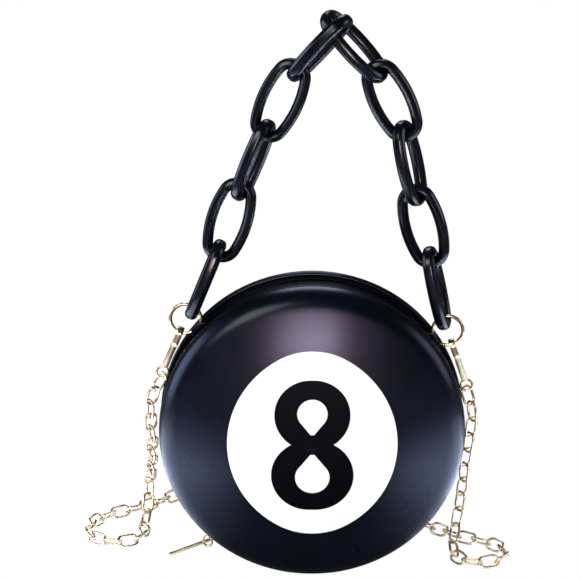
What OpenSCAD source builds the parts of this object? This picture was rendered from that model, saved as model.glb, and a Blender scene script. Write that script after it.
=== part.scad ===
// Round zip handbag styled as a numbered pool ball, with a plastic chain handle and a metal shoulder chain.
// Millimetres. X to the right, Y to the back, Z up. Origin on the ground under the middle of the bag.

/* [Bag] */
// Diameter of the two moulded domes at their rims
bag_d = 180; // [160:1:210]
// Depth from the crown of the front dome to the crown of the rear dome
bag_depth = 80; // [74:1:100]
// Distance from the middle plane forward to the front rim
front_rim = 14; // [14:0.5:16]
// Distance from the middle plane back to the rear rim
rear_rim = 12; // [12:0.5:16]
// Radius of the rounded shoulder between rim and crown
shoulder_r = 14; // [8:0.5:18]
// Wall of a moulded dome
shell_wall = 2.4; // [1.5:0.1:4]
// Thickness of the cloth lining
lining_t = 0.8; // [0.4:0.1:1.5]
// Diameter of the piping round each rim
piping_d = 2; // [1.4:0.1:2]
// Height of the small flat that the domes stand on
base_cut = 1.8; // [1:0.1:3]

/* [Gusset and zip] */
// How far the gusset lies below the rims
gusset_drop = 4.6; // [4:0.1:7]
// Thickness of the gusset
gusset_t = 1.6; // [1:0.1:2.5]
// Distance from the middle plane forward to the line of the zip
zip_y = 7.5; // [7.4:0.1:8]
// Width of one zip tape
tape_w = 3.6; // [3:0.1:4]
// Thickness of a zip tape
tape_t = 0.7; // [0.4:0.1:1]
// Width of one row of zip coil
coil_w = 1.8; // [1.2:0.1:2.4]
// Height of the zip coil
coil_h = 1.3; // [0.8:0.1:1.8]
// Angle of the zip past the side of the bag, at each end
zip_left = 57; // [40:1:62]
zip_right = 38; // [30:1:55]

/* [Number] */
// Width of the white oval
oval_w = 99; // [70:1:110]
// Height of the white oval
oval_h = 113; // [112:1:124]
// Thickness of the white oval
oval_t = 0.8; // [0.4:0.1:1.5]
// Height of the numeral
eight_h = 80; // [70:1:90]
// Width of the numeral's upper lobe
eight_top_w = 44; // [38:1:46]
// Width of the numeral's lower lobe
eight_low_w = 48; // [42:1:52]
// Thickness of the numeral
eight_t = 0.5; // [0.3:0.1:1]

/* [Handle] */
// Length of a handle link
link_l = 52; // [48:0.5:56]
// Width of a handle link
link_w = 27; // [26:0.5:30]
// Thickness of a link's bar, across the hole
link_bar = 6.2; // [5:0.1:6.6]
// Depth of a link's bar, through the hole
link_depth = 8; // [6.5:0.1:8.6]
// Outer diameter of a carrying ring
ring_d = 20; // [19:0.1:22]
// Diameter of the ring's wire
ring_wire = 2; // [1.6:0.1:2.2]
// Angle of the left ring's tab round the bag, from the right-hand side
left_tab_angle = 140; // [136:0.5:144]
// Angle of the right ring's tab round the bag, from the right-hand side
right_tab_angle = 34.5; // [32:0.5:40]

/* [Shoulder chain] */
// Length of a chain link
chain_l = 14; // [13.6:0.1:15]
// Width of a chain link
chain_w = 8.6; // [8:0.1:9.4]
// Diameter of the chain's wire
chain_wire = 1.5; // [1.2:0.1:1.6]
// Length of a clasp's hook
clasp_l = 26; // [24:0.5:30]
// Thickness of a clasp's hook
clasp_t = 3.4; // [2.8:0.1:4]

/* [Hidden] */
$fn = 48;
// Clearance between pieces that move past each other
clear = 0.3;
// Size of a block that cuts everything on one side of a plane
far = 400;

bag_r = bag_d / 2;
axis_z = bag_r - base_cut;
crown = bag_depth / 2;
gusset_r = bag_r - gusset_drop;
gusset_in = gusset_r - gusset_t;
piping_r = piping_d / 2;
seam_t = 1.2;

// The zip runs over the top from one low end to the other, and the lower gusset closes the rest
zip_start = -zip_right;
zip_arc = 180 + zip_left + zip_right;
low_start = zip_start + zip_arc + 0.4;
low_arc = 360 - zip_arc - 0.8;
tape_r = gusset_r + tape_t;
coil_r = tape_r + coil_h;

// Handle link outline: a small arc at each end and a large arc along each side, tangent to each other
link_half_l = (link_l - link_bar) / 2;
link_half_w = (link_w - link_bar) / 2;
link_end_r = 8.4;
link_end_c = link_half_l - link_end_r;
link_side_r = (link_half_w ^ 2 + link_end_c ^ 2 - link_end_r ^ 2) / (2 * (link_half_w - link_end_r));
link_side_a = atan2(link_end_c, link_side_r - link_half_w);
// Gap between neighbouring links, and the distance from a link's middle to its neighbour's end arc
link_gap = 0.7;
link_reach = link_end_r - link_bar / 2 - link_gap + link_l / 2 - link_bar;

// Tilt of each link towards the middle and its turn about its own length, from the rings to the top
left_tilt = [22, 20, 22, 27, 41];
left_turn = [84, -8, 68, -8, 68];
right_tilt = [12, 13, 12, 23, 42];
right_turn = [80, -10, 66, -8, 69];
// Lean of the two top links towards the front and the back, so that each passes through the other
top_lean = 9;

// Carrying rings stand behind the zip, in tabs sewn to the gusset, and the handle hooks in near their tops
ring_y = 8;
ring_r = (ring_d - ring_wire) / 2;
ring_seat = gusset_r + 2.6;
left_hook_angle = 55;
right_hook_angle = 110;
tab_w = 12;
tab_fold_w = 6;

function polar(r, a) = [r * cos(a), r * sin(a)];
function at_bag(p, y) = [p[0], y, axis_z + p[1]];
function ring_centre(tab) = polar(ring_seat + ring_r, tab);
left_ring_c = ring_centre(left_tab_angle);
right_ring_c = ring_centre(right_tab_angle);

// Centres of the links of one side, in the plane of the rings, each tilted about an end arc of the last or its own
function along(side, tilt) = [side * sin(tilt), cos(tilt)];
function first_link(hook, side, tilts) =
    hook + (link_l / 2 - link_bar - ring_wire / 2 - link_gap) * along(side, tilts[0]);
function link_centre(hook, side, tilts, k) = k == 0 ? first_link(hook, side, tilts) :
    link_centre(hook, side, tilts, k - 1)
    + (k % 2 == 1 ? link_reach : link_end_c) * along(side, tilts[k - 1])
    + (k % 2 == 1 ? link_end_c : link_reach) * along(side, tilts[k]);
left_hook = left_ring_c + polar(ring_r, left_hook_angle);
right_hook = right_ring_c + polar(ring_r, right_hook_angle);

// Dome outline: a crown arc and a shoulder arc, tangent to each other, from the rim to the axis
function crown_r(depth) = let (s = bag_r - shoulder_r)
    (s ^ 2 + depth ^ 2 - shoulder_r ^ 2) / (2 * (depth - shoulder_r));

// One dome as a flat outline of radius and height, grown or shrunk by off
module dome_outline(rim, off) {
    depth = crown - rim;
    big = crown_r(depth);
    centre = [0, crown - big];
    shoulder = [bag_r - shoulder_r, rim];
    way = (shoulder - centre) / norm(shoulder - centre);
    intersection() {
        translate(centre) circle(big + off, $fn = 96);
        polygon([[0, rim], shoulder, shoulder + far * way, [0, far]]);
    }
    intersection() {
        translate(shoulder) circle(shoulder_r + off);
        polygon([shoulder, shoulder + far * way, shoulder + [far, far], shoulder + [far, 0]]);
    }
}

// A layer of a dome between two offsets
module dome_layer(rim, inner, outer) {
    rotate_extrude($fn = 96) difference() {
        dome_outline(rim, outer);
        dome_outline(rim, inner);
    }
}

// Stands a shape made round its own Z axis upright, with Z towards the front or the back
module facing(way) {
    translate([0, 0, axis_z]) rotate([90, 0, 0]) {
        if (way == "front") children();
        else mirror([0, 0, 1]) children();
    }
}

// Cuts off what would lie under the ground
module on_ground() {
    difference() {
        children();
        translate([-far / 2, -far / 2, -far]) cube([far, far, far]);
    }
}

// A band round the bag's axis, between two radii and two distances from the middle plane
module band(r0, r1, h0, h1, start, arc) {
    facing("front") rotate([0, 0, start]) rotate_extrude(angle = arc, $fn = 96)
        translate([r0, h0]) square([r1 - r0, h1 - h0]);
}

// The gusset's edge, turned up where it is sewn to a rim
module seam(side, rim, start, arc) {
    h = side > 0 ? rim - seam_t : -rim;
    band(gusset_in, bag_r - shell_wall, h, h + seam_t, start, arc);
}

module dome_shell(way, rim) {
    on_ground() facing(way) dome_layer(rim, -shell_wall, 0);
}

module dome_lining(way, rim) {
    facing(way) dome_layer(rim, -shell_wall - lining_t, -shell_wall);
}

// Piping lies in the corner between the rim and the gusset
module piping(side, rim) {
    r = bag_r - shell_wall / 2;
    on_ground() facing("front") rotate_extrude($fn = 96)
        translate([r, side * (rim - piping_r)]) circle(piping_r);
}

// A flat oval of four tangent arcs, with its length along Y
module oval(w, h) {
    end_r = 0.8 * w / 2;
    end_c = h / 2 - end_r;
    side_r = ((w / 2) ^ 2 + end_c ^ 2 - end_r ^ 2) / (w - 2 * end_r);
    side_h = end_c * side_r / (side_r - end_r);
    for (s = [1, -1]) translate([0, s * end_c]) circle(end_r, $fn = 96);
    intersection() {
        translate([side_r - w / 2, 0]) circle(side_r, $fn = 96);
        translate([w / 2 - side_r, 0]) circle(side_r, $fn = 96);
        square([2 * w, 2 * side_h], center = true);
    }
}

// The numeral 8: two rounded lobes, each with a hole that narrows towards the waist
module eight() {
    low_h = 0.55 * eight_h;
    top_h = 0.52 * eight_h;
    low_c = -eight_h / 2 + low_h / 2;
    top_c = eight_h / 2 - top_h / 2;
    difference() {
        union() {
            translate([0, low_c]) oval_wide(eight_low_w, low_h);
            translate([0, top_c]) oval_wide(eight_top_w, top_h);
        }
        translate([0, low_c - 1]) drop(0.42 * eight_low_w, 1);
        translate([0, top_c + 1]) drop(0.4 * eight_top_w, -1);
    }
}

// A lobe of the numeral, wider than it is high
module oval_wide(w, h) {
    r = h / 2;
    half = w / 2 - r;
    for (s = [1, -1]) translate([s * half, 0]) circle(r);
    square([max(2 * half, clear), h], center = true);
}

// A round hole that comes to a blunt point on one side
module drop(d, way) {
    reach = 0.72 * d;
    circle(d / 2);
    polygon([[-0.42 * d, way * 0.27 * d], [0.42 * d, way * 0.27 * d], [0.06 * d, way * reach], [-0.06 * d, way * reach]]);
}

// A thin layer on the front dome, cut to a flat outline
module on_crown(inner, outer) {
    intersection() {
        facing("front") dome_layer(front_rim, inner, outer);
        translate([0, 0, axis_z]) rotate([90, 0, 0]) linear_extrude(far) children();
    }
}

// Section of a link's bar: bevelled towards the hole, with a ridge along the middle of its outer face
module bar_section() {
    a = link_bar / 2;
    d = link_depth / 2;
    polygon([[-a, -0.25 * d], [-a, 0.25 * d], [-0.6 * a, 0.7 * d], [0, d], [0.7 * a, 0.75 * d], [a, 0.35 * d],
        [a, -0.35 * d], [0.7 * a, -0.75 * d], [0, -d], [-0.6 * a, -0.7 * d]]);
}

// One handle link, its length along Z and its hole along Y
module handle_link() {
    rotate([90, 0, 0]) {
        for (s = [1, -1]) translate([0, s * link_end_c, 0]) rotate([0, 0, s * 90 - 90 + link_side_a])
            rotate_extrude(angle = 180 - 2 * link_side_a) translate([link_end_r, 0]) bar_section();
        for (s = [1, -1]) translate([s * (link_half_w - link_side_r), 0, 0])
            rotate([0, 0, 90 - s * 90 - link_side_a])
            rotate_extrude(angle = 2 * link_side_a, $fn = 96) translate([link_side_r, 0]) bar_section();
    }
}

// Link k of one side, where the chain of links puts it
module placed_link(hook, side, tilts, turns, k, lean) {
    color("#12131c") translate(at_bag(link_centre(hook, side, tilts, k), ring_y))
        rotate([0, side * tilts[k], 0]) translate([0, 0, -link_end_c]) rotate([lean, 0, 0])
        translate([0, 0, link_end_c]) rotate([0, 0, turns[k]]) handle_link();
}

module left_link(k) {
    placed_link(left_hook, 1, left_tilt, left_turn, k, k == 4 ? top_lean : 0);
}

module right_link(k) {
    placed_link(right_hook, -1, right_tilt, right_turn, k, k == 4 ? -top_lean : 0);
}

module carrying_ring(centre) {
    color(gold) translate(at_bag(centre, ring_y)) rotate([90, 0, 0])
        rotate_extrude() translate([ring_r, 0]) circle(ring_wire / 2);
}

// A folded tab sewn to the gusset, narrowing to the fold that holds the ring
module ring_tab(angle) {
    top = ring_seat + ring_wire / 2 + 1.5;
    half_t = ring_wire / 2 + clear + 0.7;
    color("#14161f") difference() {
        translate([0, 0, axis_z]) rotate([90, 0, 0]) rotate([0, 0, angle]) translate([0, 0, -ring_y - half_t])
            linear_extrude(2 * half_t) difference() {
                polygon([[gusset_in, -tab_w / 2], [gusset_r + 0.8, -tab_w / 2], [top, -tab_fold_w / 2],
                    [top, tab_fold_w / 2], [gusset_r + 0.8, tab_w / 2], [gusset_in, tab_w / 2]]);
                circle(gusset_r, $fn = 96);
            }
        translate(at_bag(ring_centre(angle), ring_y)) rotate([90, 0, 0])
            rotate_extrude() translate([ring_r, 0]) circle(ring_wire / 2 + clear);
    }
}

// Clasps hang from the rings, tilted outwards, with the ring's wire in the top of the hook
left_clasp_tilt = 23;
right_clasp_tilt = -19;
hook_w = 8.4;
hook_wall = 1.9;
hook_eye_l = 13;
gate_w = 1.7;
stem_d = 2;
stem_l = 3;
eye_r = 3.4;
eye_wire = 1.4;
foot_room = gate_w / 2 + 0.1;
// Distance from the top of the hook down to the ring's wire, the gate's pin and the swivel
wire_down = hook_wall + clear + ring_wire / 2;
pin_down = hook_eye_l - hook_wall;
stem_down = clasp_l - stem_l;
eye_down = clasp_l + clear + eye_r + eye_wire / 2;

// Places a clasp made with its length along -Z, its hook's plane along Y and its top at the origin
module at_clasp(ring_c, tilt) {
    wire = ring_c - ring_r * [sin(tilt), cos(tilt)];
    translate(at_bag(wire, ring_y)) rotate([0, tilt, 0]) translate([0, 0, wire_down]) children();
}

// The hook's flat outline in Y and Z: an eye open on one side and a tail that takes the swivel
module hook_outline() {
    r = hook_w / 2;
    difference() {
        union() {
            translate([0, -r]) circle(r);
            translate([-r, -hook_eye_l + r]) square([hook_w, hook_eye_l - 2 * r]);
            translate([0, -hook_eye_l + r]) circle(r);
            translate([-r / 2, -clasp_l]) square([r, clasp_l - hook_eye_l + r]);
        }
        translate([0, -r]) circle(r - hook_wall);
        translate([hook_wall - r, -hook_eye_l + r]) square([hook_w - 2 * hook_wall, hook_eye_l - 2 * r]);
        translate([0, -hook_eye_l + r]) circle(r - hook_wall);
        translate([r - hook_wall - clear, -pin_down - foot_room])
            square([hook_wall + 2 * clear, pin_down - r + foot_room]);
    }
}

module clasp_hook(ring_c, tilt) {
    color(gold) at_clasp(ring_c, tilt) difference() {
        translate([-clasp_t / 2, 0, 0]) rotate([90, 0, 90]) linear_extrude(clasp_t) hook_outline();
        translate([0, 0, -clasp_l - clear]) cylinder(d = stem_d + 0.1, h = stem_l + clear);
    }
}

// The sprung gate closes the hook's side, and its thumb nub stands proud
module clasp_gate(ring_c, tilt) {
    y = hook_w / 2 - gate_w / 2;
    color(gold) at_clasp(ring_c, tilt) {
        translate([-clasp_t / 2 + clear, y - gate_w / 2, -pin_down])
            cube([clasp_t - 2 * clear, gate_w, pin_down - hook_w / 2 - clear]);
        translate([-clasp_t / 2 + clear, y, -pin_down]) rotate([0, 90, 0])
            cylinder(d = gate_w, h = clasp_t - 2 * clear);
        translate([0, y + gate_w / 2 - 0.2, -pin_down + 3]) rotate([-90, 0, 0]) cylinder(d = 2, h = 1.6);
    }
}

// The swivel: a stem that turns in the hook's tail, with the eye that takes the chain
module clasp_eye(ring_c, tilt) {
    color(gold) at_clasp(ring_c, tilt) {
        translate([0, 0, -eye_down]) rotate([90, 0, 0]) rotate_extrude()
            translate([eye_r, 0]) circle(eye_wire / 2);
        translate([0, 0, -eye_down + eye_r]) cylinder(d = stem_d, h = eye_down - eye_r - stem_down - clear);
    }
}

// Zip slider: a plate over both rows of coil, a wall down behind the rear row, and two lugs for the pull
slider_l = 10;
slider_w = 6.6;
slider_t = 1.2;
slider_angle = 180 + zip_left - 6;
lug_w = 3;
pull_w = 2.4;
pull_t = 1.2;
pull_l = 30;
pull_pin = 1.2;
pull_r = coil_r + clear + slider_t + 1.6;
pull_tilt = 29.5;

// Puts a shape made along the zip at an angle round the bag: X outwards, Y along the zip, Z to the front
module at_zip(angle) {
    translate([0, 0, axis_z]) rotate([90, 0, 0]) rotate([0, 0, angle]) translate([0, 0, zip_y]) children();
}

module slider_body() {
    top = coil_r + clear;
    wall = tape_r + clear;
    color(gold) at_zip(slider_angle) difference() {
        union() {
            translate([top, -slider_l / 2, -slider_w / 2]) cube([slider_t, slider_l, slider_w]);
            translate([wall, -slider_l / 2, -slider_w / 2]) cube([top - wall + clear, slider_l, 1]);
            for (s = [-1, 1]) translate([top + slider_t - clear, -2.4, s * (pull_w / 2 + clear + 0.4) - 0.4])
                cube([3.2, 4.8, 0.8]);
        }
        translate([pull_r, 0, -slider_w]) cylinder(d = pull_pin + 0.1, h = 2 * slider_w);
    }
}

// The pull: a pin in the slider's lugs and a slim bar with a rounded end
module pull_bar() {
    color(gold) at_zip(slider_angle) translate([pull_r, 0, 0]) {
        translate([0, 0, -pull_w / 2 - clear - 0.6]) cylinder(d = pull_pin, h = pull_w + 2 * clear + 1.2);
        rotate([0, 0, -pull_tilt]) translate([0, 0, -pull_w / 2]) linear_extrude(pull_w) {
            translate([0, -pull_t / 2]) square([pull_l, pull_t]);
            circle(d = pull_pin + 1);
            translate([pull_l, 0]) circle(d = pull_t);
        }
    }
}

// Route of the shoulder chain, from the left clasp's eye to the right one's, with points chosen by hand:
// it hangs back to the ground, loops out to the left, lies behind the bag and heaps up at the right
floor_z = 3.6;
strap_route = [
    [-93.5, 9, 105], [-95.8, 11.5, 95], [-96.4, 15, 86], [-96, 20.5, 74], [-96.3, 28, 62], [-97, 36.5, 51],
    [-98, 45.5, 41.5], [-98.9, 53, 32.5], [-99.7, 56.5, 23], [-100.8, 54.5, 13.5], [-101.8, 47, 6.8],
    [-102.5, 36.5, 3.9],
    [-104.7, 27.7, floor_z], [-110.7, 21.7, floor_z], [-119, 19.5, floor_z], [-127.2, 21.7, floor_z],
    [-133.3, 27.7, floor_z], [-135.5, 36, floor_z], [-135, 46, floor_z], [-131.5, 55.5, floor_z],
    [-124.5, 63, floor_z], [-115.5, 69.5, floor_z], [-105.5, 76, floor_z], [-96, 83.5, floor_z],
    [-87.5, 92.5, floor_z], [-80, 103, floor_z], [-74.5, 117, floor_z], [-72, 131, floor_z],
    [-71, 146, floor_z], [-70.5, 161, floor_z], [-70, 175, floor_z], [-67.4, 184.7, floor_z],
    [-60.2, 191.9, floor_z], [-50.5, 194.5, floor_z], [-40.7, 191.9, floor_z], [-33.6, 184.7, floor_z],
    [-31, 175, floor_z], [-30.5, 160, floor_z], [-30, 143, floor_z], [-29.5, 125, floor_z], [-29, 108, floor_z],
    [-26.3, 98, floor_z], [-19, 90.7, floor_z], [-9, 88, floor_z], [1, 90.7, floor_z], [8.3, 98, floor_z],
    [11, 108, floor_z], [11.5, 124, floor_z], [12, 140, floor_z], [12.5, 154, floor_z], [13, 166, floor_z],
    [15.7, 176, floor_z], [23, 183.3, floor_z], [33, 186, floor_z], [43, 183.3, floor_z], [50.3, 176, floor_z],
    [53, 166, floor_z], [54, 150, floor_z], [54.5, 132, floor_z], [55, 114, floor_z], [55, 97, floor_z],
    [56, 80, floor_z],
    [59.5, 64, floor_z], [66.5, 51.5, floor_z], [75, 42.5, floor_z], [83.5, 34.5, floor_z],
    [92, 27.5, floor_z], [100.5, 22.5, floor_z], [108.5, 17, floor_z], [114.4, 10, floor_z],
    [116, 1, floor_z], [112.5, -6.5, floor_z], [104.8, -11, floor_z], [96, -10.5, floor_z],
    [89, -5.5, floor_z], [86, 2.5, 4.4], [86.2, 10.2, 9], [87.6, 14.8, 17.5], [89.3, 15.6, 28],
    [90.7, 14.2, 40], [91.7, 12, 53], [93, 10.2, 66], [94.8, 9, 79], [95.3, 8.2, 92.5]];

function eye_foot(ring_c, tilt) = let (down = eye_down + eye_r - wire_down)
    at_bag(ring_c - (ring_r + down) * [sin(tilt), cos(tilt)], ring_y);
strap_points = concat([eye_foot(left_ring_c, left_clasp_tilt)], strap_route,
    [eye_foot(right_ring_c, right_clasp_tilt)]);

// A smooth curve through the route's points, and the distance along it to each of its steps
curve_steps = 6;
function pick(k) = strap_points[min(max(k, 0), len(strap_points) - 1)];
function spline(a, b, c, d, t) = 0.5 * (2 * b + (c - a) * t + (2 * a - 5 * b + 4 * c - d) * t ^ 2
    + (3 * b - a - 3 * c + d) * t ^ 3);
strap_curve = [for (k = [0:len(strap_points) - 2]) for (n = [0:curve_steps - 1])
    spline(pick(k - 1), pick(k), pick(k + 1), pick(k + 2), n / curve_steps), pick(len(strap_points))];
strap_run = [for (k = 0, d = 0; k < len(strap_curve); k = k + 1,
    d = k < len(strap_curve) ? d + norm(strap_curve[k] - strap_curve[k - 1]) : d) d];
strap_l = strap_run[len(strap_run) - 1];
function strap_at(d) = [for (axis = [0:2])
    lookup(d, [for (k = [0:len(strap_run) - 1]) [strap_run[k], strap_curve[k][axis]]])];

// Links are a pitch apart, and the first and last hook into the eyes
eye_slack = 1.4;
chain_lead = chain_l / 2 - chain_wire - eye_wire / 2 - eye_slack;
chain_slack = 0.74;
chain_room = chain_l - 2 * chain_wire - chain_slack;
chain_count = 1 + ceil((strap_l - 2 * chain_lead) / chain_room);
chain_pitch = (strap_l - 2 * chain_lead) / (chain_count - 1);
chain_end_r = (chain_w - chain_wire) / 2;
chain_side = chain_l - chain_w;

// One oval link of round wire, its length along Z and its hole along Y
module chain_link() {
    rotate([90, 0, 0]) {
        for (s = [0, 1]) rotate([0, 0, 180 * s]) translate([0, chain_side / 2, 0])
            rotate_extrude(angle = 180) translate([chain_end_r, 0]) circle(chain_wire / 2, $fn = 16);
    }
    for (s = [1, -1]) translate([s * chain_end_r, 0, -chain_side / 2])
        cylinder(d = chain_wire, h = chain_side, $fn = 16);
}

// The way each link points, and its upward side, carried from the middle of the chain to both ends without a twist
chain_way = [for (k = [0:chain_count - 1]) let (d = chain_lead + k * chain_pitch,
    way = strap_at(d + chain_pitch / 2) - strap_at(d - chain_pitch / 2)) way / norm(way)];
chain_mid = floor(chain_count / 2);
function carried(up, way) = let (square_up = up - (up * way) * way) square_up / norm(square_up);
ups_after = [for (k = chain_mid, up = [0, 0, 1]; k < chain_count; k = k + 1,
    up = k < chain_count ? carried(up, chain_way[k]) : up) up];
ups_before = [for (k = chain_mid, up = [0, 0, 1]; k >= 0; k = k - 1,
    up = k >= 0 ? carried(up, chain_way[k]) : up) up];

// Link k on the curve, each turned a quarter from the last
module strap_link(k) {
    t = chain_way[k];
    up = k < chain_mid ? ups_before[chain_mid - k] : ups_after[k - chain_mid];
    side = cross(up, t);
    p = strap_at(chain_lead + k * chain_pitch);
    multmatrix([[side[0], up[0], t[0], p[0]], [side[1], up[1], t[1], p[1]], [side[2], up[2], t[2], p[2]], [0, 0, 0, 1]])
        rotate([0, 0, k % 2 == 0 ? 45 : -45]) chain_link();
}

// The links whose middles lie between two distances along the chain
module strap_run_between(from, to) {
    color(gold) for (k = [0:chain_count - 1])
        if (chain_lead + k * chain_pitch >= from && chain_lead + k * chain_pitch < to) strap_link(k);
}

// Distances along the chain to where it lands, goes behind the bag, comes out and rises again
strap_lands = 0.135 * strap_l;
strap_hides = 0.285 * strap_l;
strap_shows = 0.775 * strap_l;
strap_rises = 0.888 * strap_l;

leather = "#141a28";
cloth = "#23252e";
gold = "#e6c27a";

module rear_shell() color(leather) dome_shell("back", rear_rim);
module rear_lining() color(cloth) dome_lining("back", rear_rim);
module rear_piping() color(leather) piping(-1, rear_rim);
module rear_gusset() color(leather) {
    band(gusset_in, gusset_r, -rear_rim, zip_y - tape_w, zip_start, zip_arc);
    seam(-1, rear_rim, zip_start, zip_arc);
}
module rear_zip_tape() color(cloth)
    band(gusset_r, tape_r, zip_y - tape_w - 2, zip_y - clear / 2, zip_start, zip_arc);
module rear_zip_coil() color(cloth)
    band(tape_r, coil_r, zip_y - clear / 2 - coil_w, zip_y - clear / 2, zip_start, zip_arc);
module lower_gusset() color(leather) {
    band(gusset_in, gusset_r, -rear_rim, front_rim, low_start, low_arc);
    seam(-1, rear_rim, low_start, low_arc);
    seam(1, front_rim, low_start, low_arc);
}
module left_ring_tab() ring_tab(left_tab_angle);
module right_ring_tab() ring_tab(right_tab_angle);
module zip_stops() color(gold) for (a = [zip_start + 0.6, zip_start + zip_arc - 1.4])
    band(coil_r, coil_r + 0.8, zip_y - clear / 2 - coil_w, zip_y - clear / 2, a, 0.8);

module front_shell() color(leather) dome_shell("front", front_rim);
module front_lining() color(cloth) dome_lining("front", front_rim);
module front_piping() color(leather) piping(1, front_rim);
module front_gusset() color(leather) {
    band(gusset_in, gusset_r, zip_y + tape_w, front_rim, zip_start, zip_arc);
    seam(1, front_rim, zip_start, zip_arc);
}
module front_zip_tape() color(cloth)
    band(gusset_r, tape_r, zip_y + clear / 2, zip_y + tape_w + 1, zip_start, zip_arc);
module front_zip_coil() color(cloth)
    band(tape_r, coil_r, zip_y + clear / 2, zip_y + clear / 2 + coil_w, zip_start, zip_arc);
module number_oval() color("#f4f4f6") on_crown(0, oval_t) oval(oval_w, oval_h);
module numeral_eight() color("#101117") on_crown(oval_t, oval_t + eight_t) eight();

module zip_slider() slider_body();
module zip_pull() pull_bar();
module left_ring() carrying_ring(left_ring_c);
module right_ring() carrying_ring(right_ring_c);
module left_clasp_hook() clasp_hook(left_ring_c, left_clasp_tilt);
module left_clasp_gate() clasp_gate(left_ring_c, left_clasp_tilt);
module left_clasp_eye() clasp_eye(left_ring_c, left_clasp_tilt);
module right_clasp_hook() clasp_hook(right_ring_c, right_clasp_tilt);
module right_clasp_gate() clasp_gate(right_ring_c, right_clasp_tilt);
module right_clasp_eye() clasp_eye(right_ring_c, right_clasp_tilt);
module strap_left() strap_run_between(0, strap_lands);
module strap_left_floor() strap_run_between(strap_lands, strap_hides);
module strap_behind() strap_run_between(strap_hides, strap_shows);
module strap_right_floor() strap_run_between(strap_shows, strap_rises);
module strap_right() strap_run_between(strap_rises, strap_l);

rear_shell();
rear_lining();
rear_piping();
rear_gusset();
rear_zip_tape();
rear_zip_coil();
lower_gusset();
left_ring_tab();
right_ring_tab();
zip_stops();
front_shell();
front_lining();
front_piping();
front_gusset();
front_zip_tape();
front_zip_coil();
number_oval();
numeral_eight();
zip_slider();
zip_pull();
left_ring();
right_ring();
left_link(0);  // left_link_1
left_link(1);  // left_link_2
left_link(2);  // left_link_3
left_link(3);  // left_link_4
left_link(4);  // left_link_5
right_link(0);  // right_link_1
right_link(1);  // right_link_2
right_link(2);  // right_link_3
right_link(3);  // right_link_4
right_link(4);  // right_link_5
left_clasp_hook();
left_clasp_gate();
left_clasp_eye();
right_clasp_hook();
right_clasp_gate();
right_clasp_eye();
strap_left();
strap_left_floor();
strap_behind();
strap_right_floor();
strap_right();
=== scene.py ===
"""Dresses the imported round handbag: glossy domes, zip, plastic chain handle and a metal shoulder chain."""

import math

import bmesh
import bpy
import numpy
from mathutils import Matrix, Vector, noise


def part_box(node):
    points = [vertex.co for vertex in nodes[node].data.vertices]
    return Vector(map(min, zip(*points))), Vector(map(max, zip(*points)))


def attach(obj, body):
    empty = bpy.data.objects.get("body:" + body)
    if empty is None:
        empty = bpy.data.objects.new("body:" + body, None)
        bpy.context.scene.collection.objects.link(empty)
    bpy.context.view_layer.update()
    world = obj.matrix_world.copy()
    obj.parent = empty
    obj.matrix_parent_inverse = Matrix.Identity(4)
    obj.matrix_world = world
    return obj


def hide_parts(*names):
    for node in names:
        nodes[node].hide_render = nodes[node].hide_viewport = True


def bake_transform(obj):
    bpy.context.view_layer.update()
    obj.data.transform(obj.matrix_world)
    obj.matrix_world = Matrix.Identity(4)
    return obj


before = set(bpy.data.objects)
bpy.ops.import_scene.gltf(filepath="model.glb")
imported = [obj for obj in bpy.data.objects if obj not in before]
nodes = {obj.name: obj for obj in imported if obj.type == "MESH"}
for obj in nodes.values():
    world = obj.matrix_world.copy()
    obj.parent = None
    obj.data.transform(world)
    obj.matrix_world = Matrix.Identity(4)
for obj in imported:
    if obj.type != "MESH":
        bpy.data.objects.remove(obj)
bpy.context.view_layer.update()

MM = 0.001
MERGE = 0.01 * MM

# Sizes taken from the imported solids
front_low, front_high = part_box("front_shell")
rear_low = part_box("rear_shell")[0]
coil_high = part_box("front_zip_coil")[1]
tape_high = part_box("front_zip_tape")[1]
BAG_R = front_high.x
AXIS_Z = front_high.z - BAG_R
CROWN = -front_low.y
FRONT_RIM = -front_high.y
REAR_RIM = rear_low.y
COIL_R = coil_high.z - AXIS_Z
TAPE_R = tape_high.z - AXIS_Z
ZIP_H = -coil_high.y

# Sizes of the domes, their linings and their piping, in metres
SHOULDER_R = 14 * MM
SHELL_WALL = 2.4 * MM
HOLLOW_D = 0.35 * MM
HOLLOWS_PER_METRE = 26
CALM_RIM = 6 * MM
LINING_T = 0.8 * MM
LINING_GAP = 0.05 * MM
PIPING_R = 1 * MM

# Sizes of the gusset and the zip, in metres
GUSSET_T = 1.6 * MM
SEAM_T = 1.2 * MM
SEAM_BEND = 0.5 * MM
CUT_EDGE = 0.3 * MM
TAPE_T = 0.7 * MM
TAPE_W = 3.6 * MM
TAPE_LIFT = 0.02 * MM
REAR_TAPE_LAP = 2 * MM
FRONT_TAPE_LAP = 1 * MM
GUSSET_R = TAPE_R - TAPE_T
GUSSET_IN = GUSSET_R - GUSSET_T
COIL_W = 1.8 * MM
COIL_GAP = 0.15 * MM
TOOTH_PITCH = 1.9 * MM
STITCH_PITCH = 3.4 * MM
STITCH_L = 2.3 * MM
STITCH_D = 0.55 * MM
STITCH_INSET = 0.9 * MM

# How far the zip runs below the bag's middle at each side, and its whole arc, in degrees
ZIP_LEFT = 57
ZIP_RIGHT = 38
ZIP_ARC = 180 + ZIP_LEFT + ZIP_RIGHT
ZIP_STEPS = 160

# Sizes of a handle link, in metres
LINK_L = 52 * MM
LINK_W = 27 * MM
LINK_BAR = 6.2 * MM
LINK_DEPTH = 8 * MM
LINK_END_R = 8.4 * MM
LINK_EDGE = 0.4 * MM

# How far the edges of the metal and of the ring tabs are rounded over, in metres
CLASP_EDGE = 0.3 * MM
TAB_EDGE = 0.4 * MM
ZIP_EDGE = 0.2 * MM

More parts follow.
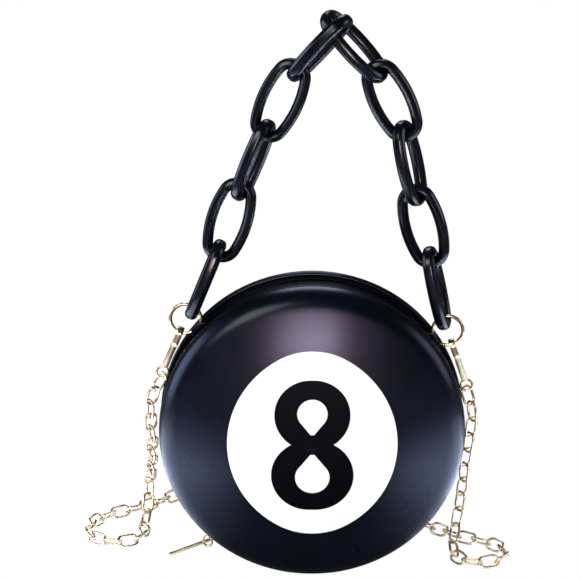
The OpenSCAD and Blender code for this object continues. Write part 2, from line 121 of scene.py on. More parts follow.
# The photograph's view: its width in pixels, a pixel's size at the bag, the bag's place and the camera's
PHOTO_SIZE = 580
MM_PER_PIXEL = 0.588
BAG_PIXEL = (312, 431)
CAMERA_TILT = 18
CAMERA_DISTANCE = 1.7
SENSOR_W = 36

# A wave texture at a scale of 1 repeats after this many metres
WAVE_PERIOD = 0.314

# The shoulder chain in millimetres, on the same route as its solids. FLOOR is its height where it lies
FLOOR = 3.6
CHAIN_L = 14
CHAIN_W = 8.6
CHAIN_WIRE = 1.5
CHAIN_LEAD = 3.4
CHAIN_SLACK = 0.74
EYE_WIRE = 1.4
STRAP_ROUTE = [
    (-93.5, 9, 105), (-95.8, 11.5, 95), (-96.4, 15, 86), (-96, 20.5, 74), (-96.3, 28, 62), (-97, 36.5, 51),
    (-98, 45.5, 41.5), (-98.9, 53, 32.5), (-99.7, 56.5, 23), (-100.8, 54.5, 13.5), (-101.8, 47, 6.8),
    (-102.5, 36.5, 3.9),
    (-104.7, 27.7, FLOOR), (-110.7, 21.7, FLOOR), (-119, 19.5, FLOOR), (-127.2, 21.7, FLOOR),
    (-133.3, 27.7, FLOOR), (-135.5, 36, FLOOR), (-135, 46, FLOOR), (-131.5, 55.5, FLOOR),
    (-124.5, 63, FLOOR), (-115.5, 69.5, FLOOR), (-105.5, 76, FLOOR), (-96, 83.5, FLOOR),
    (-87.5, 92.5, FLOOR), (-80, 103, FLOOR), (-74.5, 117, FLOOR), (-72, 131, FLOOR),
    (-71, 146, FLOOR), (-70.5, 161, FLOOR), (-70, 175, FLOOR), (-67.4, 184.7, FLOOR),
    (-60.2, 191.9, FLOOR), (-50.5, 194.5, FLOOR), (-40.7, 191.9, FLOOR), (-33.6, 184.7, FLOOR),
    (-31, 175, FLOOR), (-30.5, 160, FLOOR), (-30, 143, FLOOR), (-29.5, 125, FLOOR), (-29, 108, FLOOR),
    (-26.3, 98, FLOOR), (-19, 90.7, FLOOR), (-9, 88, FLOOR), (1, 90.7, FLOOR), (8.3, 98, FLOOR),
    (11, 108, FLOOR), (11.5, 124, FLOOR), (12, 140, FLOOR), (12.5, 154, FLOOR), (13, 166, FLOOR),
    (15.7, 176, FLOOR), (23, 183.3, FLOOR), (33, 186, FLOOR), (43, 183.3, FLOOR), (50.3, 176, FLOOR),
    (53, 166, FLOOR), (54, 150, FLOOR), (54.5, 132, FLOOR), (55, 114, FLOOR), (55, 97, FLOOR),
    (56, 80, FLOOR),
    (59.5, 64, FLOOR), (66.5, 51.5, FLOOR), (75, 42.5, FLOOR), (83.5, 34.5, FLOOR),
    (92, 27.5, FLOOR), (100.5, 22.5, FLOOR), (108.5, 17, FLOOR), (114.4, 10, FLOOR),
    (116, 1, FLOOR), (112.5, -6.5, FLOOR), (104.8, -11, FLOOR), (96, -10.5, FLOOR),
    (89, -5.5, FLOOR), (86, 2.5, 4.4), (86.2, 10.2, 9), (87.6, 14.8, 17.5), (89.3, 15.6, 28),
    (90.7, 14.2, 40), (91.7, 12, 53), (93, 10.2, 66), (94.8, 9, 79), (95.3, 8.2, 92.5)]


def linear(hex_colour):
    """A colour written as sRGB hex, as the linear values that a shader takes."""
    parts = [int(hex_colour[k:k + 2], 16) / 255 for k in (1, 3, 5)]
    return [p / 12.92 if p <= 0.04045 else ((p + 0.055) / 1.055) ** 2.4 for p in parts] + [1]


def add(tree, kind, values=None, links=None, **settings):
    """Adds a node with its settings, its inputs' values and the links into it."""
    node = tree.nodes.new(kind)
    for key, value in settings.items():
        setattr(node, key, value)
    for key, value in (values or {}).items():
        node.inputs[key].default_value = value
    for key, socket in (links or {}).items():
        tree.links.new(socket, node.inputs[key])
    return node


def finish(name, values):
    """A material with one shader, and the object's own coordinates to draw its pattern on."""
    material = bpy.data.materials.new(name)
    material.use_nodes = True
    tree = material.node_tree
    shader = tree.nodes["Principled BSDF"]
    for key, value in values.items():
        shader.inputs[key].default_value = value
    return material, tree, shader, tree.nodes.new("ShaderNodeTexCoord").outputs["Object"]


def blotches(tree, shader, coords, size, dark, light, rough):
    """Soft changes of colour and gloss, of one size, over a surface."""
    cloud = add(tree, "ShaderNodeTexNoise", {"Scale": 1 / size, "Detail": 3}, {"Vector": coords})
    ramp = add(tree, "ShaderNodeValToRGB", None, {"Fac": cloud.outputs["Fac"]})
    ramp.color_ramp.elements[0].color = linear(dark)
    ramp.color_ramp.elements[0].position = 0.3
    ramp.color_ramp.elements[1].color = linear(light)
    ramp.color_ramp.elements[1].position = 0.7
    gloss = add(tree, "ShaderNodeMapRange", {"To Min": rough[0], "To Max": rough[1]},
                {"Value": cloud.outputs["Fac"]})
    tree.links.new(ramp.outputs["Color"], shader.inputs["Base Color"])
    tree.links.new(gloss.outputs["Result"], shader.inputs["Roughness"])


def relief(tree, shader, height, strength, depth):
    """Bump of a real depth from a pattern's height."""
    bump = add(tree, "ShaderNodeBump", {"Strength": strength, "Distance": depth}, {"Height": height})
    tree.links.new(bump.outputs["Normal"], shader.inputs["Normal"])


def patent_pu():
    """Patent polyurethane over board: a deep navy black, glossy, with a trace of orange peel."""
    material, tree, shader, coords = finish(
        "patent_pu", {"Specular IOR Level": 0.42, "Specular Tint": linear("#ccd3ec")})
    blotches(tree, shader, coords, 35 * MM, "#010308", "#030612", (0.24, 0.3))
    peel = add(tree, "ShaderNodeTexNoise", {"Scale": 1 / (2.2 * MM), "Detail": 2}, {"Vector": coords})
    relief(tree, shader, peel.outputs["Fac"], 0.06, 0.1 * MM)
    return material


def white_pu():
    """White coated leathercloth: bright, half glossy, with a fine pressed grain."""
    material, tree, shader, coords = finish("white_pu", {"IOR": 1.5})
    blotches(tree, shader, coords, 25 * MM, "#f1f1f3", "#f8f8f9", (0.3, 0.42))
    grain = add(tree, "ShaderNodeTexVoronoi", {"Scale": 1 / (0.9 * MM)}, {"Vector": coords})
    relief(tree, shader, grain.outputs["Distance"], 0.08, 0.1 * MM)
    return material


def printed_pu():
    """Black film pressed onto the white: half glossy, with the grain of the cloth under it."""
    material, tree, shader, coords = finish("printed_pu", {"Specular IOR Level": 0.04})
    blotches(tree, shader, coords, 20 * MM, "#030406", "#07080c", (0.4, 0.5))
    grain = add(tree, "ShaderNodeTexVoronoi", {"Scale": 1 / (0.9 * MM)}, {"Vector": coords})
    relief(tree, shader, grain.outputs["Distance"], 0.06, 0.1 * MM)
    return material


def woven(name, dark, light, thread):
    """Plain woven cloth: two crossing sets of threads, drawn coarse enough to show."""
    material, tree, shader, coords = finish(name, {"IOR": 1.5, "Sheen Weight": 0.2})
    blotches(tree, shader, coords, 18 * MM, dark, light, (0.7, 0.85))
    scale = WAVE_PERIOD / thread
    warp = add(tree, "ShaderNodeTexWave", {"Scale": scale}, {"Vector": coords}, bands_direction="X")
    weft = add(tree, "ShaderNodeTexWave", {"Scale": scale}, {"Vector": coords}, bands_direction="DIAGONAL")
    both = add(tree, "ShaderNodeMath", None, {0: warp.outputs["Fac"], 1: weft.outputs["Fac"]},
               operation="MULTIPLY")
    relief(tree, shader, both.outputs["Value"], 0.5, 0.2 * MM)
    return material


def coil_nylon():
    """Extruded nylon monofilament: dark, slightly waxy."""
    material, tree, shader, coords = finish("coil_nylon", {"IOR": 1.53})
    blotches(tree, shader, coords, 6 * MM, "#12131a", "#1c1e28", (0.3, 0.45))
    return material


def sewing_thread():
    """Bonded polyester thread, with its twist drawn across it."""
    material, tree, shader, coords = finish("sewing_thread", {"IOR": 1.5})
    blotches(tree, shader, coords, 5 * MM, "#181a22", "#262936", (0.5, 0.65))
    twist = add(tree, "ShaderNodeTexWave", {"Scale": WAVE_PERIOD / (0.5 * MM)}, {"Vector": coords},
                bands_direction="DIAGONAL")
    relief(tree, shader, twist.outputs["Fac"], 0.4, 0.1 * MM)
    return material


def moulded_acrylic():
    """Injection-moulded acrylic: near black with a navy cast, very glossy, with faint flow marks."""
    material, tree, shader, coords = finish("moulded_acrylic", {"Specular IOR Level": 0.4})
    blotches(tree, shader, coords, 14 * MM, "#020308", "#070a16", (0.18, 0.24))
    flow = add(tree, "ShaderNodeTexNoise", {"Scale": 1 / (7 * MM), "Distortion": 1.2}, {"Vector": coords})
    relief(tree, shader, flow.outputs["Fac"], 0.03, 0.3 * MM)
    return material


def plated_zinc(name, dark, light, rough):
    """Die-cast zinc with pale gold plating: bright, with small changes of gloss from handling."""
    material, tree, shader, coords = finish(name, {"Metallic": 1.0})
    blotches(tree, shader, coords, 5 * MM, dark, light, rough)
    scuffs = add(tree, "ShaderNodeTexNoise", {"Scale": 1 / (1.1 * MM), "Detail": 4}, {"Vector": coords})
    relief(tree, shader, scuffs.outputs["Fac"], 0.05, 0.1 * MM)
    return material


PU = patent_pu()
WHITE = white_pu()
PRINT = printed_pu()
LINING = woven("lining_cloth", "#1c1d24", "#272932", 0.7 * MM)
TAPE = woven("zip_tape", "#12131a", "#1d1f29", 0.6 * MM)
NYLON = coil_nylon()
THREAD = sewing_thread()
ACRYLIC = moulded_acrylic()
GOLD = plated_zinc("plated_zinc", "#e8cf98", "#f7e8c4", (0.16, 0.26))
CHAIN_GOLD = plated_zinc("plated_chain", "#e6c998", "#f6e6c6", (0.18, 0.28))


def piece(name, mesh, material, body, slot, *replaced):
    """Puts a finished mesh in the scene on its body, in place of the solids that it stands for."""
    made = bpy.data.objects.new(name, mesh)
    bpy.context.scene.collection.objects.link(made)
    mesh.materials.clear()
    mesh.materials.append(material)
    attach(made, body)
    if replaced:
        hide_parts(*replaced)
    return made


def finished_mesh(name, shape, smooth_angle):
    """Writes a bmesh out, smooth except along its sharp edges."""
    for face in shape.faces:
        face.smooth = True
    for edge in shape.edges:
        edge.smooth = len(edge.link_faces) == 2 and edge.calc_face_angle(0) < math.radians(smooth_angle)
    mesh = bpy.data.meshes.new(name)
    shape.to_mesh(mesh)
    shape.free()
    return mesh


def mesh_from(name, points, faces, smooth_angle=35, drop_slivers=False):
    """A closed mesh with merged doubles, outward faces and smooth shading below an angle."""
    shape = bmesh.new()
    corners = [shape.verts.new(p) for p in points]
    for face in faces:
        shape.faces.new([corners[k] for k in face])
    bmesh.ops.remove_doubles(shape, verts=shape.verts, dist=MERGE)
    if drop_slivers:
        bmesh.ops.dissolve_degenerate(shape, edges=shape.edges, dist=0.1 * MERGE)
    bmesh.ops.recalc_face_normals(shape, faces=shape.faces)
    return finished_mesh(name, shape, smooth_angle)


def skin(rings, size, closed=True, section_closed=True):
    """The faces between neighbouring rings of points, where each ring is a copy of one section."""
    faces = []
    for k in range(rings if closed else rings - 1):
        here = k * size
        there = (k + 1) % rings * size
        for n in range(size if section_closed else size - 1):
            after = (n + 1) % size
            faces.append((here + n, here + after, there + after, there + n))
    return faces


def on_bag(r, h, angle):
    """A point at a radius and an angle round the bag's axis, a distance h to the front."""
    turn = math.radians(angle)
    return Vector((r * math.cos(turn), -h, AXIS_Z + r * math.sin(turn)))


def turned(name, section, start=0, arc=360, steps=192, smooth_angle=35):
    """A section of radius and height, turned round the bag's axis, with closed ends where it isn't a ring."""
    whole = arc == 360
    rings = steps if whole else steps + 1
    size = len(section)
    points = [on_bag(r, h, start + arc * k / steps) for k in range(rings) for r, h in section]
    faces = skin(rings, size, whole)
    if not whole:
        faces += [tuple(range(size)), tuple(range(size * steps, size * rings))]
    return mesh_from(name, points, faces, smooth_angle)


def dome_line(rim, inset, crown_steps=30, shoulder_steps=10):
    """Points from the crown to the rim of a dome, moved in from its outer face."""
    depth = CROWN - rim
    reach = BAG_R - SHOULDER_R
    crown_r = (reach ** 2 + depth ** 2 - SHOULDER_R ** 2) / (2 * (depth - SHOULDER_R))
    swing = math.atan2(reach, rim - (CROWN - crown_r))
    line = []
    for k in range(crown_steps):
        a = swing * k / crown_steps
        line.append(((crown_r - inset) * math.sin(a), CROWN - crown_r + (crown_r - inset) * math.cos(a)))
    for k in range(shoulder_steps + 1):
        a = swing + (math.pi / 2 - swing) * k / shoulder_steps
        line.append((reach + (SHOULDER_R - inset) * math.sin(a), rim + (SHOULDER_R - inset) * math.cos(a)))
    return line


def dome(name, way, rim, outer, inner, hollow):
    """One dome with a rolled rim: smooth, with very slight hollows where the cloth lies over its board."""
    outside = dome_line(rim, outer)
    inside = dome_line(rim, inner)
    lip = 0.35 * (inner - outer)
    edge_r, edge_h = outside[-1]
    outside[-1] = (edge_r, edge_h + lip)
    roll = [(edge_r - 0.3 * lip, edge_h + 0.3 * lip), (edge_r - lip, edge_h)]
    hollowed = len(outside) - 1
    section = [(r, way * h) for r, h in outside + roll + inside[::-1]]
    steps = 224
    points = []
    for k in range(steps):
        for n, (r, h) in enumerate(section):
            p = on_bag(max(r, 0), h, 360 * k / steps)
            if n < hollowed:
                fade = min(1, (BAG_R - r) / CALM_RIM)
                p.y += way * hollow * noise.noise(p * HOLLOWS_PER_METRE, noise_basis="PERLIN_NEW") * fade
            p.z = max(p.z, 0)
            points.append(p)
    faces = skin(steps, len(section), section_closed=False)
    return mesh_from(name, points, faces, 40, drop_slivers=True)


def softened(node, width):
    """A copy of a solid with its edges rounded over."""
    flat_angle = math.radians(4)
    sharp_angle = math.radians(24)
    shape = bmesh.new()
    shape.from_mesh(nodes[node].data)
    bmesh.ops.remove_doubles(shape, verts=shape.verts, dist=0.5 * MERGE)
    bmesh.ops.join_triangles(shape, faces=shape.faces, angle_face_threshold=flat_angle,
                             angle_shape_threshold=math.pi, cmp_seam=False)
    sharp = [e for e in shape.edges if len(e.link_faces) == 2 and e.calc_face_angle(0) > sharp_angle]
    bmesh.ops.bevel(shape, geom=sharp, offset=width, segments=3, profile=0.5, affect="EDGES",
                    clamp_overlap=True)
    return finished_mesh(node + "_piece", shape, 50)


def rounded(corners, reach, steps=3):
    """A closed outline with each corner rounded over a reach along its sides."""
    outline = []
    for k, corner in enumerate(corners):
        here = Vector(corner)
        before, after = (Vector(corners[(k + n) % len(corners)]) for n in (-1, 1))
        a = here + (before - here).normalized() * reach
        b = here + (after - here).normalized() * reach
        for t in (n / steps for n in range(steps + 1)):
            outline.append((1 - t) ** 2 * a + 2 * t * (1 - t) * here + t ** 2 * b)
    return outline


def handle_link_shape():
    """A handle link along Z with its hole along Y: a flat-faced, ridged bar bent to an oval of four arcs."""
    half_l = (LINK_L - LINK_BAR) / 2
    half_w = (LINK_W - LINK_BAR) / 2
    end_z = half_l - LINK_END_R
    side_r = (end_z ** 2 + half_w ** 2 - LINK_END_R ** 2) / (2 * (half_w - LINK_END_R))
    side_x = half_w - side_r
    side_a = math.atan2(end_z, side_r - half_w)
    end_arc = math.pi - 2 * side_a
    arcs = [(side_x, 0, side_r, -side_a, 2 * side_a),
            (0, end_z, LINK_END_R, side_a, end_arc),
            (-side_x, 0, side_r, math.pi - side_a, 2 * side_a),
            (0, -end_z, LINK_END_R, math.pi + side_a, end_arc)]
    steps = 28
    path = []
    for x, z, r, start, arc in arcs:
        for k in range(steps):
            a = start + arc * k / steps
            path.append((x + r * math.cos(a), z + r * math.sin(a), math.cos(a), math.sin(a)))
    ridge = [(-1, 0.25), (-0.6, 0.7), (0, 1), (0.7, 0.75), (1, 0.35)]
    half = [(x * LINK_BAR / 2, y * LINK_DEPTH / 2) for x, y in ridge]
    section = rounded(half + [(x, -y) for x, y in half[::-1]], LINK_EDGE)
    points = [(x + q.x * out_x, q.y, z + q.x * out_z) for x, z, out_x, out_z in path for q in section]
    return mesh_from("handle_link", points, skin(len(path), len(section)), 60)


def link_place(node):
    """Where a handle link's solid lies: its middle, and its axes in order of width, depth and length."""
    mesh = nodes[node].data
    middles = numpy.array([f.center for f in mesh.polygons])
    areas = numpy.array([f.area for f in mesh.polygons])
    middle = (middles * areas[:, None]).sum(0) / areas.sum()
    spread = (middles - middle).T @ ((middles - middle) * areas[:, None])
    depth, _, length = (Vector(axis) for axis in numpy.linalg.eigh(spread)[1].T)
    turn = Matrix((depth.cross(length), depth, length)).transposed().to_4x4()
    return Matrix.Translation(middle) @ turn


def point_tree(name):
    """Geometry nodes that set a copy of a shape at each point, turned as the point says."""
    tree = bpy.data.node_groups.new(name, "GeometryNodeTree")
    for label, kind in (("Points", "Geometry"), ("Shape", "Object"), ("Finish", "Material")):
        tree.interface.new_socket(label, in_out="INPUT", socket_type="NodeSocket" + kind)
    tree.interface.new_socket("Pieces", in_out="OUTPUT", socket_type="NodeSocketGeometry")
    given = tree.nodes.new("NodeGroupInput").outputs
    turn = add(tree, "GeometryNodeInputNamedAttribute", {"Name": "turn"}, data_type="QUATERNION")
    shape = add(tree, "GeometryNodeObjectInfo", None, {"Object": given["Shape"]})
    copies = add(tree, "GeometryNodeInstanceOnPoints", None,
                 {"Points": given["Points"], "Instance": shape.outputs["Geometry"],
                  "Rotation": turn.outputs["Attribute"]})
    real = add(tree, "GeometryNodeRealizeInstances", None, {"Geometry": copies.outputs["Instances"]})
    dressed = add(tree, "GeometryNodeSetMaterial", None,
                  {"Geometry": real.outputs["Geometry"], "Material": given["Finish"]})
    add(tree, "NodeGroupOutput", None, {"Pieces": dressed.outputs["Geometry"]})
    return tree


AT_POINTS = point_tree("copies_at_points")


def copies_at(name, places, shape, material):
    """A mesh of copies of a shape, one at each place and turned as it is."""
    points = bpy.data.meshes.new(name + "_points")
    points.from_pydata([place.translation for place in places], [], [])
    turns = points.attributes.new("turn", "QUATERNION", "POINT")
    for turn, place in zip(turns.data, places):
        turn.value = place.to_quaternion()
    holder = bpy.data.objects.new(name + "_points", points)
    source = bpy.data.objects.new(name + "_shape", shape)
    for each in (holder, source):
        bpy.context.scene.collection.objects.link(each)
    modifier = holder.modifiers.new("copies", "NODES")
    modifier.node_group = AT_POINTS
    given = {"Shape": source, "Finish": material}
    for socket in AT_POINTS.interface.items_tree:
        if socket.name in given:
            modifier[socket.identifier] = given[socket.name]
    seen = bpy.context.evaluated_depsgraph_get()
    mesh = bpy.data.meshes.new_from_object(holder.evaluated_get(seen), depsgraph=seen)
    mesh.name = name
    for each in (holder, source):
        bpy.data.objects.remove(each)
    return mesh


def capsule(name, length, d, sides=8):
    """A short rounded rod along Z."""
    r = d / 2
    half = length / 2 - r
    bend = 0.7 * r
    rings = [(0, -half - r), (bend, -half - bend), (r, -half), (r, half), (bend, half + bend), (0, half + r)]
    points = [(q * math.cos(math.tau * k / sides), q * math.sin(math.tau * k / sides), z)
              for q, z in rings for k in range(sides)]
    return mesh_from(name, points, skin(len(rings), sides, closed=False), 60)


def wire_loop(name, path, wire_r, sides, smooth_angle):
    """Round wire bent to a flat loop, square to Y. The path gives its points and the way out at each."""
    points = []
    for point, out in path:
        for k in range(sides):
            a = math.tau * k / sides
            points.append(point + out * wire_r * math.cos(a) + Vector((0, wire_r * math.sin(a), 0)))
    return mesh_from(name, points, skin(len(path), sides), smooth_angle)


def place_camera():
    """A long lens, aimed so that the bag's middle falls where the photograph has it."""
    tilt = math.radians(CAMERA_TILT)
    ahead = Vector((0, math.cos(tilt), -math.sin(tilt)))
    up = Vector((0, math.sin(tilt), math.cos(tilt)))
    bag_middle = Vector((0, -FRONT_RIM, AXIS_Z))
    off_x = (PHOTO_SIZE / 2 - BAG_PIXEL[0]) * MM_PER_PIXEL * MM
    off_up = (BAG_PIXEL[1] - PHOTO_SIZE / 2) * MM_PER_PIXEL * MM
    aim = bag_middle + Vector((off_x, 0, 0)) + up * off_up
    lens = bpy.data.cameras.new("photo_view")
    lens.sensor_width = SENSOR_W
    lens.lens = SENSOR_W * CAMERA_DISTANCE / (PHOTO_SIZE * MM_PER_PIXEL * MM)
    camera = bpy.data.objects.new("photo_view", lens)
    camera.location = aim - ahead * CAMERA_DISTANCE
    camera.rotation_euler = ahead.to_track_quat("-Z", "Y").to_euler()
    bpy.context.scene.collection.objects.link(camera)
    bpy.context.scene.camera = camera


def eye_foot(node):
    """The lowest point of a clasp's eye, along the middle of its wire."""
    low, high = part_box(node)
    foot = min((v.co for v in nodes[node].data.vertices), key=lambda p: p.z)
    return Vector((foot.x, (low.y + high.y) / 2, foot.z + EYE_WIRE / 2 * MM))


def smooth_line(points, steps=6):
    """A smooth curve through points."""
    line = []
    for k in range(len(points) - 1):
        a, b, c, d = (points[min(max(k + n, 0), len(points) - 1)] for n in (-1, 0, 1, 2))
        for t in (n / steps for n in range(steps)):
            line.append(0.5 * (2 * b + (c - a) * t + (2 * a - 5 * b + 4 * c - d) * t ** 2
                               + (3 * b - a - 3 * c + d) * t ** 3))
    return line + [points[-1]]


def line_length(line):
    """The length of a line through points."""
    return sum((b - a).length for a, b in zip(line, line[1:]))


def point_at(line, distance):
    """The point at a distance along a line."""
    run = 0
    for a, b in zip(line, line[1:]):
        step = (b - a).length
        if run + step >= distance:
            return a.lerp(b, (distance - run) / step)
        run += step
    return line[-1]


def link_places(line, lead, count):
    """Places of the chain's links: an eighth of a turn from upright, carried along without a twist."""
    pitch = (line_length(line) - 2 * lead) / (count - 1)
    middles = [point_at(line, lead + k * pitch) for k in range(count)]
    ways = [(point_at(line, lead + (k + 0.5) * pitch) - point_at(line, lead + (k - 0.5) * pitch)).normalized()
            for k in range(count)]
    ups = {}
    for order in (range(count // 2, count), range(count // 2, -1, -1)):
        up = Vector((0, 0, 1))
        for k in order:
            up = (up - up.dot(ways[k]) * ways[k]).normalized()
            ups[k] = up
    places = []
    for k in range(count):
        turn = Matrix((ups[k].cross(ways[k]), ups[k], ways[k])).transposed().to_4x4()
        eighth = Matrix.Rotation(math.radians(45 - 90 * (k % 2)), 4, "Z")
        places.append(Matrix.Translation(middles[k]) @ turn @ eighth)
    return places


def chain_link_shape():
    """One oval link of round wire along Z, with its hole along Y."""
    end_r = (CHAIN_W - CHAIN_WIRE) / 2 * MM
    side = (CHAIN_L - CHAIN_W) / 2 * MM
    turns = 8
    path = []
    for half in (1, -1):
        for k in range(turns + 1):
            a = math.pi * k / turns
            out = half * Vector((math.cos(a), 0, math.sin(a)))
            path.append((Vector((0, 0, half * side)) + end_r * out, out))
    return wire_loop("chain_link", path, CHAIN_WIRE / 2 * MM, 8, 80)


def shoulder_chain():
    """The free chain from one clasp to the other."""
    eyes = ["left_clasp_eye", "right_clasp_eye"]
    ends = [eye_foot(eye) for eye in eyes]
    line = smooth_line([ends[0]] + [Vector(p) * MM for p in STRAP_ROUTE] + [ends[1]])
    length = line_length(line)
    room = (CHAIN_L - 2 * CHAIN_WIRE - CHAIN_SLACK) * MM
    lead = CHAIN_LEAD * MM
    count = 1 + math.ceil((length - 2 * lead) / room)
    mesh = copies_at("shoulder_chain", link_places(line, lead, count), chain_link_shape(), CHAIN_GOLD)
    solids = ["strap_left", "strap_left_floor", "strap_behind", "strap_right_floor", "strap_right"]
    chain = piece("shoulder_chain", mesh, CHAIN_GOLD, "bag", "gold_chain", *solids)


def piping(name, way, rim):
    """The round cord along a rim, flat where the bag stands on it."""
    sides = 14
    middle_r = BAG_R - SHELL_WALL / 2
    middle_h = way * (rim - PIPING_R)
    section = [(middle_r + PIPING_R * math.cos(math.tau * k / sides),
                middle_h + PIPING_R * math.sin(math.tau * k / sides)) for k in range(sides)]
    roll = turned(name, section, smooth_angle=60)
    for v in roll.vertices:
        v.co.z = max(v.co.z, 0)
    return roll


def bag_shells():
    """The two domes with their linings and piping."""
    for name, way, rim, body in (("front", 1, FRONT_RIM, "front"), ("rear", -1, REAR_RIM, "bag")):
        shell = dome(name + "_dome", way, rim, 0, SHELL_WALL, HOLLOW_D)
        piece(name + "_dome", shell, PU, body, "black_pu", name + "_shell")
        lining = dome(name + "_cloth", way, rim, SHELL_WALL + LINING_GAP, SHELL_WALL + LINING_T, 0)
        piece(name + "_cloth", lining, LINING, body, "black_cloth", name + "_lining")
        piece(name + "_roll", piping(name + "_roll", way, rim), PU, body, "black_pu", name + "_piping")


def gusset_section(h0, h1, rear_seam, front_seam):
    """The gusset's section from one edge to the other, with its edges turned up at the rims."""
    seam_r = BAG_R - SHELL_WALL
    seam = [(seam_r, 0), (seam_r, SEAM_T), (GUSSET_R + SEAM_BEND, SEAM_T), (GUSSET_R, SEAM_T + SEAM_BEND)]
    cut = [(GUSSET_R - CUT_EDGE, 0), (GUSSET_R, CUT_EDGE)]
    rear = [(r, h0 + h) for r, h in (seam if rear_seam else cut)]
    front = [(r, h1 - h) for r, h in (seam if front_seam else cut)]
    return [(GUSSET_IN, h0)] + rear + front[::-1] + [(GUSSET_IN, h1)]


def bag_gussets():
    """The strips between the domes: two that carry the zip and one that closes the bag below it."""
    rear_section = gusset_section(-REAR_RIM, ZIP_H - TAPE_W, True, False)
    rear = turned("rear_strip", rear_section, -ZIP_RIGHT, ZIP_ARC, ZIP_STEPS)
    piece("rear_strip", rear, PU, "bag", "black_pu", "rear_gusset")
    front_section = gusset_section(ZIP_H + TAPE_W, FRONT_RIM, False, True)
    front = turned("front_strip", front_section, -ZIP_RIGHT, ZIP_ARC, ZIP_STEPS)
    piece("front_strip", front, PU, "front", "black_pu", "front_gusset")
    end_gap = 0.4
    low_section = gusset_section(-REAR_RIM, FRONT_RIM, True, True)
    low = turned("lower_strip", low_section, ZIP_ARC - ZIP_RIGHT + end_gap, 360 - ZIP_ARC - 2 * end_gap, 60)
    made = bpy.data.objects.new("lower_strip", low)
    bpy.context.scene.collection.objects.link(made)
    low.materials.append(PU)
    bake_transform(made)
    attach(made, "bag")
    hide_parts("lower_gusset")


def tape_section(h0, h1):
    """A zip tape's section from one edge to the other, with its upper edges bevelled."""
    foot = GUSSET_R + TAPE_LIFT
    edge = TAPE_R - 0.15 * MM
    bevel = 0.2 * MM
    return [(foot, h0), (edge, h0), (TAPE_R, h0 + bevel), (TAPE_R, h1 - bevel), (edge, h1), (foot, h1)]


def zip_places(r, h, margin, count):
    """Places along the zip, a margin in degrees from its ends, each with X outwards and Z along the zip."""
    arc = ZIP_ARC - 2 * margin
    angles = [margin - ZIP_RIGHT + arc * k / (count - 1) for k in range(count)]
    return [Matrix.Translation(on_bag(r, h, a)) @ Matrix.Rotation(-math.radians(a), 4, "Y") for a in angles]


def bag_zip():
    """Tapes, rows of coil teeth and the stitches that hold the tapes."""
    coil_h = COIL_R - TAPE_R
    tooth_margin = 0.5
    stitch_margin = 0.8
    tooth_count = int(math.radians(ZIP_ARC) * COIL_R / TOOTH_PITCH)
    stitch_count = int(math.radians(ZIP_ARC) * TAPE_R / STITCH_PITCH)
    tapes = (("rear", "bag", -1, ZIP_H - TAPE_W - REAR_TAPE_LAP, ZIP_H - COIL_GAP),
             ("front", "front", 1, ZIP_H + COIL_GAP, ZIP_H + TAPE_W + FRONT_TAPE_LAP))
    for name, body, way, h0, h1 in tapes:
        tape = turned(name + "_tape", tape_section(h0, h1), -ZIP_RIGHT, ZIP_ARC, ZIP_STEPS)
        piece(name + "_tape", tape, TAPE, body, "black_cloth", name + "_zip_tape")
        tooth = capsule(name + "_tooth", COIL_W, coil_h)
        tooth.transform(Matrix.Rotation(math.pi / 2, 4, "X"))
        tooth_h = ZIP_H + way * (COIL_GAP + COIL_W / 2)
        row = zip_places(TAPE_R + coil_h / 2, tooth_h, tooth_margin, tooth_count)
        teeth = copies_at(name + "_teeth", row, tooth, NYLON)
        piece(name + "_teeth", teeth, NYLON, body, "black_nylon", name + "_zip_coil")
        stitch = capsule(name + "_stitch", STITCH_L, STITCH_D)
        stitch_h = h0 + STITCH_INSET if way < 0 else h1 - STITCH_INSET
        seam = zip_places(TAPE_R, stitch_h, stitch_margin, stitch_count)
        stitches = copies_at(name + "_stitches", seam, stitch, THREAD)
        piece(name + "_stitches", stitches, THREAD, body, "black_cloth")


def handle():
    """The ten handle links, each where its solid lies."""
    for side in ("left", "right"):
        for k in range(1, 6):
            node = f"{side}_link_{k}"
            link = handle_link_shape()
            link.transform(link_place(node))
            piece(node + "_piece", link, ACRYLIC, node, "black_acrylic", node)


def rounded_hardware():
    """Solids with their edges rounded over: the clasps' hooks and gates, the ring tabs, slider and pull."""
    for side in ("left", "right"):
        for part, body in (("clasp_hook", "clasp"), ("clasp_gate", "gate")):
            node = f"{side}_{part}"
            piece(node + "_piece", softened(node, CLASP_EDGE), GOLD, f"{side}_{body}", "gold_metal", node)
        node = side + "_ring_tab"
        piece(node + "_piece", softened(node, TAB_EDGE), PU, "bag", "black_pu", node)
    for node, body in (("zip_slider", "slider"), ("zip_pull", "pull")):
        piece(node + "_piece", softened(node, ZIP_EDGE), GOLD, body, "gold_metal", node)


def pull_loop():
    """The bent wire loop that holds the zip pull: an oval round the pull's root, across the pull's bar."""
    wire_r = 0.65 * MM
    half_along = 2.6 * MM
    half_across = 3.2 * MM
    from_root = 6.8 * MM
    low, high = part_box("zip_pull")
    tip = min((v.co for v in nodes["zip_pull"].data.vertices), key=lambda p: p.x)
    root = max((v.co for v in nodes["zip_pull"].data.vertices), key=lambda p: p.x)
    along = Vector((tip.x - root.x, 0, tip.z - root.z)).normalized()
    across = Vector((0, 1, 0)).cross(along)
    middle = Vector((root.x, (low.y + high.y) / 2, root.z)) + along * from_root
    turns = 28
    path = []
    for k in range(turns):
        a = math.tau * k / turns
        out = along * math.cos(a) * half_along + across * math.sin(a) * half_across
        path.append((middle + out, out.normalized()))
    piece("pull_loop", wire_loop("pull_loop", path, wire_r, 10, 60), GOLD, "pull", "gold_metal")


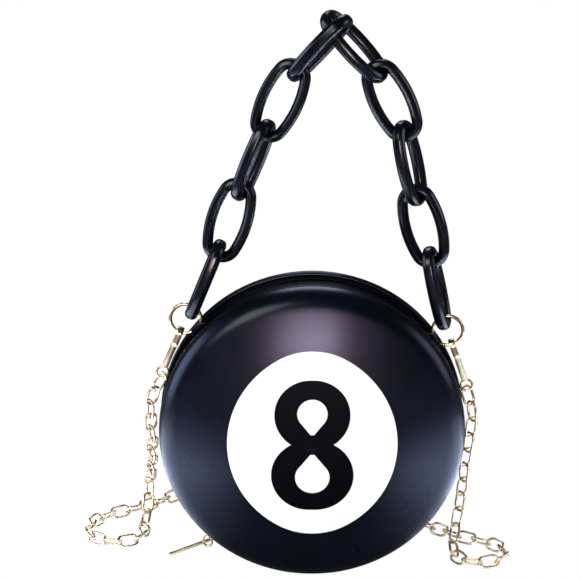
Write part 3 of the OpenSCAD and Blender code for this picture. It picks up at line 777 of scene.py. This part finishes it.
def keep_solids():
    """Solids that stay as they are, with a better finish."""
    kept = {"number_oval": WHITE, "numeral_eight": PRINT, "zip_stops": GOLD, "left_ring": GOLD,
            "right_ring": GOLD, "left_clasp_eye": GOLD, "right_clasp_eye": GOLD}
    for node, material in kept.items():
        nodes[node].data.materials.clear()
        nodes[node].data.materials.append(material)


def white_world():
    """A world that the camera sees as white, and that is dimmer as light and in reflections."""
    light_level = 0.3
    mirror_level = 0.05
    world = bpy.data.worlds.new("studio")
    bpy.context.scene.world = world
    world.use_nodes = True
    tree = world.node_tree
    back = tree.nodes["Background"]
    back.inputs["Color"].default_value = linear("#ffffff")
    path = tree.nodes.new("ShaderNodeLightPath")
    seen = add(tree, "ShaderNodeMath", None,
               {0: path.outputs["Is Camera Ray"], 1: path.outputs["Is Transmission Ray"]},
               operation="MAXIMUM")
    gleam = add(tree, "ShaderNodeMath", {1: mirror_level}, {0: path.outputs["Is Glossy Ray"]},
                operation="MULTIPLY")
    either = add(tree, "ShaderNodeMath", None, {0: seen.outputs["Value"], 1: gleam.outputs["Value"]},
                 operation="MAXIMUM")
    diffuse = add(tree, "ShaderNodeMath", {1: light_level}, {0: path.outputs["Is Diffuse Ray"]},
                  operation="MULTIPLY")
    level = add(tree, "ShaderNodeMath", None, {0: either.outputs["Value"], 1: diffuse.outputs["Value"]},
                operation="MAXIMUM")
    tree.links.new(level.outputs["Value"], back.inputs["Strength"])


def paper_floor():
    """A grey floor that the camera sees as white."""
    material, tree, shader, _ = finish("paper_floor", {"Base Color": linear("#6e6e6e"), "Roughness": 0.9})
    path = tree.nodes.new("ShaderNodeLightPath")
    glow = add(tree, "ShaderNodeEmission", {"Color": linear("#ffffff"), "Strength": 1.0})
    both = add(tree, "ShaderNodeMixShader", None,
               {0: path.outputs["Is Camera Ray"], 1: shader.outputs["BSDF"], 2: glow.outputs["Emission"]})
    tree.links.new(both.outputs["Shader"], tree.nodes["Material Output"].inputs["Surface"])
    reach = 4
    drop = 0.5 * MM
    plane = bpy.data.meshes.new("floor")
    corners = [(-reach, -reach, 0), (reach, -reach, 0), (reach, reach, 0), (-reach, reach, 0)]
    plane.from_pydata(corners, [], [(0, 1, 2, 3)])
    plane.materials.append(material)
    floor = bpy.data.objects.new("floor", plane)
    floor.location.z = -drop
    bpy.context.scene.collection.objects.link(floor)


def lamp(name, place, target, size, watts, colour, mirrored=True, spread=180):
    """A square softbox with a beam of some spread, which can be kept out of reflections."""
    light = bpy.data.lights.new(name, "AREA")
    light.size = size
    light.energy = watts
    light.color = linear(colour)[:3]
    light.spread = math.radians(spread)
    holder = bpy.data.objects.new(name, light)
    holder.location = place
    holder.rotation_euler = (Vector(target) - Vector(place)).to_track_quat("-Z", "Y").to_euler()
    holder.visible_glossy = mirrored
    bpy.context.scene.collection.objects.link(holder)


def softboxes():
    """Soft lamps round the bag, and two narrow ones that light the floor at its sides."""
    middle = (0, 0, 0.15)
    lamp("key", (-0.9, -1.3, 1.3), middle, 0.9, 14, "#f3fff0")
    lamp("left", (-1.5, 0.1, 0.42), middle, 1, 13, "#cfdcff")
    lamp("right", (1.5, 0, 0.6), middle, 0.8, 4.5, "#efe6ff")
    lamp("back", (0, 1.3, 1.5), middle, 0.8, 9, "#dfe8ff")
    lamp("glow", (0, -2.2, 0.45), middle, 0.55, 24, "#ffe2ec")
    lamp("front", (0, -1.6, 0.4), middle, 0.8, 9, "#ecfff0", False)
    for x in (-0.265, 0.265):
        lamp("table", (x, -0.04, 0.22), (x, -0.04, 0), 0.3, 10.5, "#d4e0fa", False, 42)


place_camera()
shoulder_chain()
bag_shells()
bag_gussets()
bag_zip()
handle()
rounded_hardware()
pull_loop()
keep_solids()
white_world()
paper_floor()
softboxes()
bpy.context.scene.view_settings.view_transform = "Standard"
